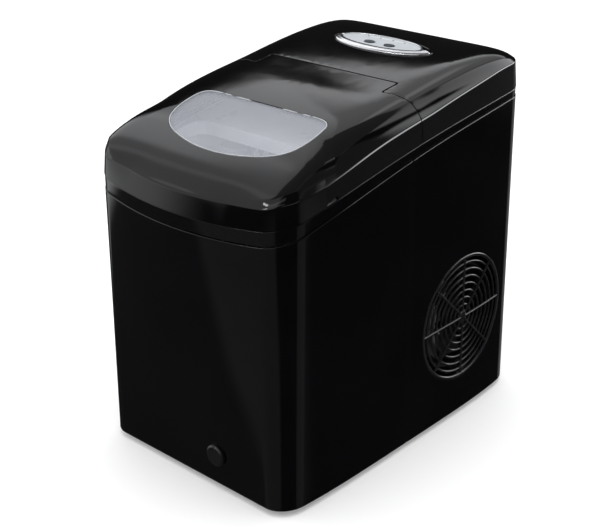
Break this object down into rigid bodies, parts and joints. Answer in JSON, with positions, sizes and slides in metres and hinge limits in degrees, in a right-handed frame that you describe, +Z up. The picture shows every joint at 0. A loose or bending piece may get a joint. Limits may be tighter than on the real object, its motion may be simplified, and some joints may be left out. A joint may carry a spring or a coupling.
{
  "type": "countertop ice maker",
  "caption": "Bullet-shaped countertop ice maker: gloss black housing, hinged lid with clear window, oval control panel, side fan grille, lift-out basket, tilting tray and cooling parts",
  "frame": {"origin": "on the floor under the middle of the outer box", "axes": "+X is the side with the fan grille, +Y points to the rear, +Z up; the drain plug is on the -Y face"},
  "size_m": [0.242, 0.354, 0.3539],
  "materials": {
    "housing_black": "high-gloss black ABS",
    "band_black": "gloss black trim band",
    "window_clear": "clear moulded window",
    "panel_silver": "bright silver plated trim",
    "panel_grey": "silver-grey lacquered panel",
    "button_dark": "dark satin buttons",
    "light_clear": "frosted light strip",
    "grille_dark": "dark moulded grille",
    "rubber_dark": "soft rubber",
    "liner_white": "white moulded liner",
    "foam_white": "expanded foam",
    "frosted_plastic": "translucent white plastic",
    "steel_sheet": "galvanised sheet",
    "evaporator_metal": "plated metal",
    "compressor_black": "black enamel",
    "copper": "bare copper",
    "fins": "plain aluminium fins",
    "board_green": "circuit board",
    "dark_plastic": "dark moulded plastic"
  },
  "bodies": {
    "housing": {"front_shell": "housing_black", "rear_shell": "housing_black", "rear_deck": "housing_black", "top_band": "band_black", "panel_trim": "panel_silver", "panel_plate": "panel_grey", "light_guide": "light_clear", "fan_grille": "grille_dark", "foot_fl": "rubber_dark", "foot_fr": "rubber_dark", "foot_rl": "rubber_dark", "foot_rr": "rubber_dark", "grommet_1": "rubber_dark", "grommet_2": "rubber_dark", "grommet_3": "rubber_dark", "drain_seal": "rubber_dark", "cord_gland": "rubber_dark", "drain_hose": "frosted_plastic", "base_pan": "steel_sheet", "hinge_bracket_left": "dark_plastic", "hinge_bracket_right": "dark_plastic", "water_tank": "liner_white", "tank_insulation": "foam_white", "divider_wall": "foam_white", "inner_frame": "liner_white", "ice_chute": "liner_white", "tray_motor": "dark_plastic", "tray_bearing": "liner_white", "evaporator": "evaporator_metal", "ice_sensor_emitter": "dark_plastic", "ice_sensor_receiver": "dark_plastic", "water_pump": "dark_plastic", "pump_tube": "frosted_plastic", "compressor": "compressor_black", "relay_cover": "dark_plastic", "condenser": "fins", "fan_shroud": "dark_plastic", "fan_motor": "steel_sheet", "filter_drier": "copper", "discharge_pipe": "copper", "suction_pipe": "copper", "hot_gas_valve": "copper", "valve_coil": "dark_plastic", "power_board": "board_green", "control_board": "board_green"},
    "lid_group": {"lid": "housing_black", "lid_window": "window_clear", "lid_arm_left": "dark_plastic", "lid_arm_right": "dark_plastic"},
    "tray_group": {"water_tray": "frosted_plastic", "ice_pusher": "frosted_plastic"},
    "basket_group": {"ice_basket": "frosted_plastic", "ice_scoop": "frosted_plastic"},
    "power_button_group": {"power_button": "button_dark"},
    "select_button_group": {"select_button": "button_dark"},
    "fan_rotor_group": {"fan_rotor": "dark_plastic"},
    "drain_plug_group": {"drain_plug": "dark_plastic"}
  },
  "joints": [
    {"name": "lid_hinge", "type": "hinge", "parent": "housing", "child": "lid_group", "pos_m": [0, 0.018, 0.335], "axis": [-1, 0, 0], "range_deg": [0, 72]},
    {"name": "power_press", "type": "slide", "parent": "housing", "child": "power_button_group", "axis": [0, 0, -1], "range_m": [0, 0.001], "stiffness_N_per_m": 300, "springref_m": -0.001},
    {"name": "select_press", "type": "slide", "parent": "housing", "child": "select_button_group", "axis": [0, 0, -1], "range_m": [0, 0.001], "stiffness_N_per_m": 300, "springref_m": -0.001},
    {"name": "fan_spin", "type": "hinge", "parent": "housing", "child": "fan_rotor_group", "pos_m": [0.105, 0.082, 0.1076], "axis": [1, 0, 0], "continuous": true},
    {"name": "tray_tilt", "type": "hinge", "parent": "housing", "child": "tray_group", "pos_m": [0, -0.014, 0.25], "axis": [1, 0, 0], "range_deg": [0, 72]},
    {"name": "basket_lift", "type": "slide", "parent": "housing", "child": "basket_group", "axis": [0, 0, 1], "range_m": [0, 0.018]},
    {"name": "drain_turn", "type": "hinge", "parent": "housing", "child": "drain_plug_group", "pos_m": [0.035, -0.1672, 0.036], "axis": [0, -1, 0], "range_deg": [0, 360]}
  ]
}
